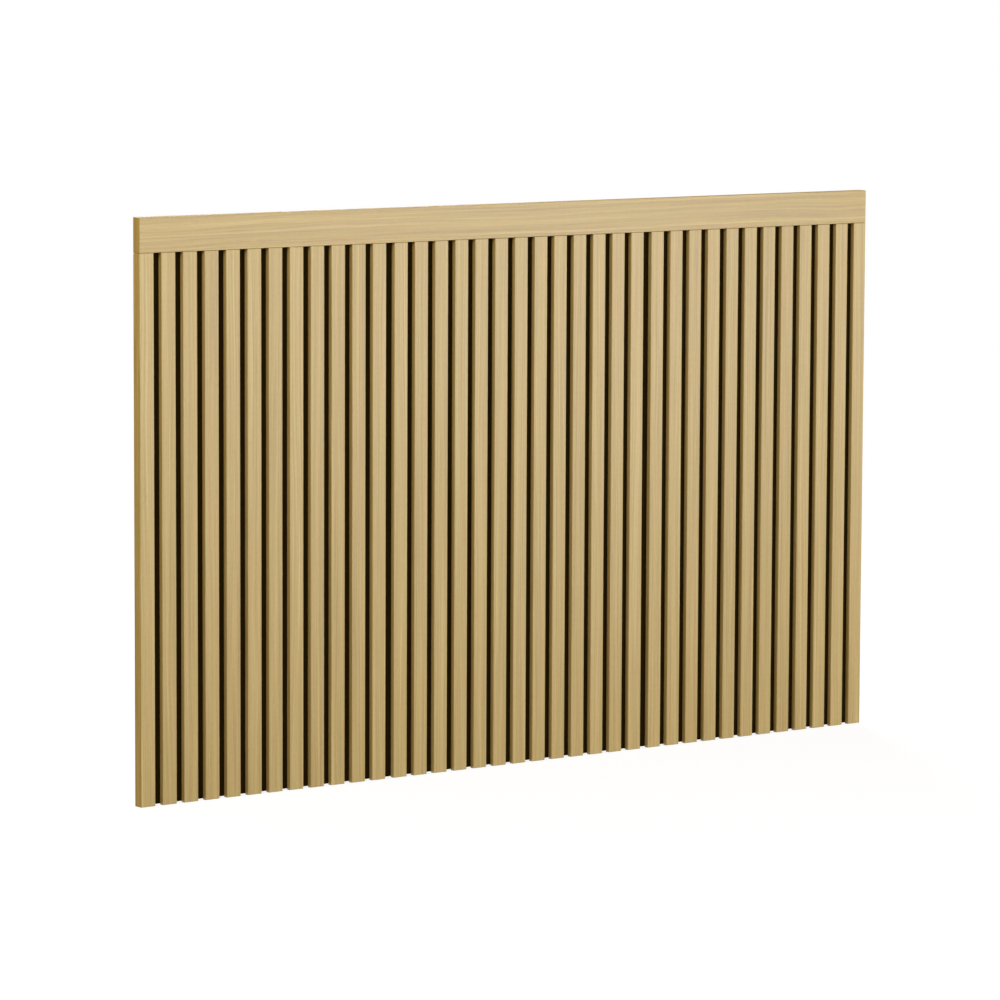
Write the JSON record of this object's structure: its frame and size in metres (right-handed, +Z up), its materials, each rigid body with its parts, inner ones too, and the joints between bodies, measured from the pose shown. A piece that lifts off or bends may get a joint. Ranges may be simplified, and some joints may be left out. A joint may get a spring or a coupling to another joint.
{
  "type": "slatted headboard panel",
  "caption": "Slim wall-hung headboard of upright oak slats on black backing boards, under one full-depth top rail with keyhole hangers behind.",
  "frame": {"origin": "middle of the underside: halfway along the width and the depth, at the level of the slats' lower ends", "axes": "X along the width, with +X to the right seen from the front; -Y out of the front, +Y to the wall; +Z up"},
  "size_m": [1.6, 0.02, 1],
  "materials": {
    "oak_slat": "satin",
    "oak_rail": "satin",
    "black_board": "matte",
    "dowel_wood": "matte",
    "tongue_wood": "matte",
    "zinc_plate": "satin",
    "screw_steel": "satin"
  },
  "bodies": {
    "root": {"left_end_slat": "oak_slat", "slat_02": "oak_slat", "slat_03": "oak_slat", "slat_04": "oak_slat", "slat_05": "oak_slat", "slat_06": "oak_slat", "slat_07": "oak_slat", "slat_08": "oak_slat", "slat_09": "oak_slat", "slat_10": "oak_slat", "slat_11": "oak_slat", "slat_12": "oak_slat", "slat_13": "oak_slat", "slat_14": "oak_slat", "slat_15": "oak_slat", "slat_16": "oak_slat", "slat_17": "oak_slat", "slat_18": "oak_slat", "slat_19": "oak_slat", "slat_20": "oak_slat", "slat_21": "oak_slat", "slat_22": "oak_slat", "slat_23": "oak_slat", "slat_24": "oak_slat", "slat_25": "oak_slat", "slat_26": "oak_slat", "slat_27": "oak_slat", "slat_28": "oak_slat", "slat_29": "oak_slat", "slat_30": "oak_slat", "slat_31": "oak_slat", "slat_32": "oak_slat", "slat_33": "oak_slat", "slat_34": "oak_slat", "slat_35": "oak_slat", "slat_36": "oak_slat", "right_end_slat": "oak_slat", "top_rail": "oak_rail", "left_backing_board": "black_board", "middle_backing_board": "black_board", "right_backing_board": "black_board", "rail_dowels": "dowel_wood", "left_board_tongue": "tongue_wood", "right_board_tongue": "tongue_wood", "hanger_plates": "zinc_plate", "rail_screws": "screw_steel", "end_slat_screws": "screw_steel", "hanger_screws": "screw_steel"}
  },
  "joints": []
}
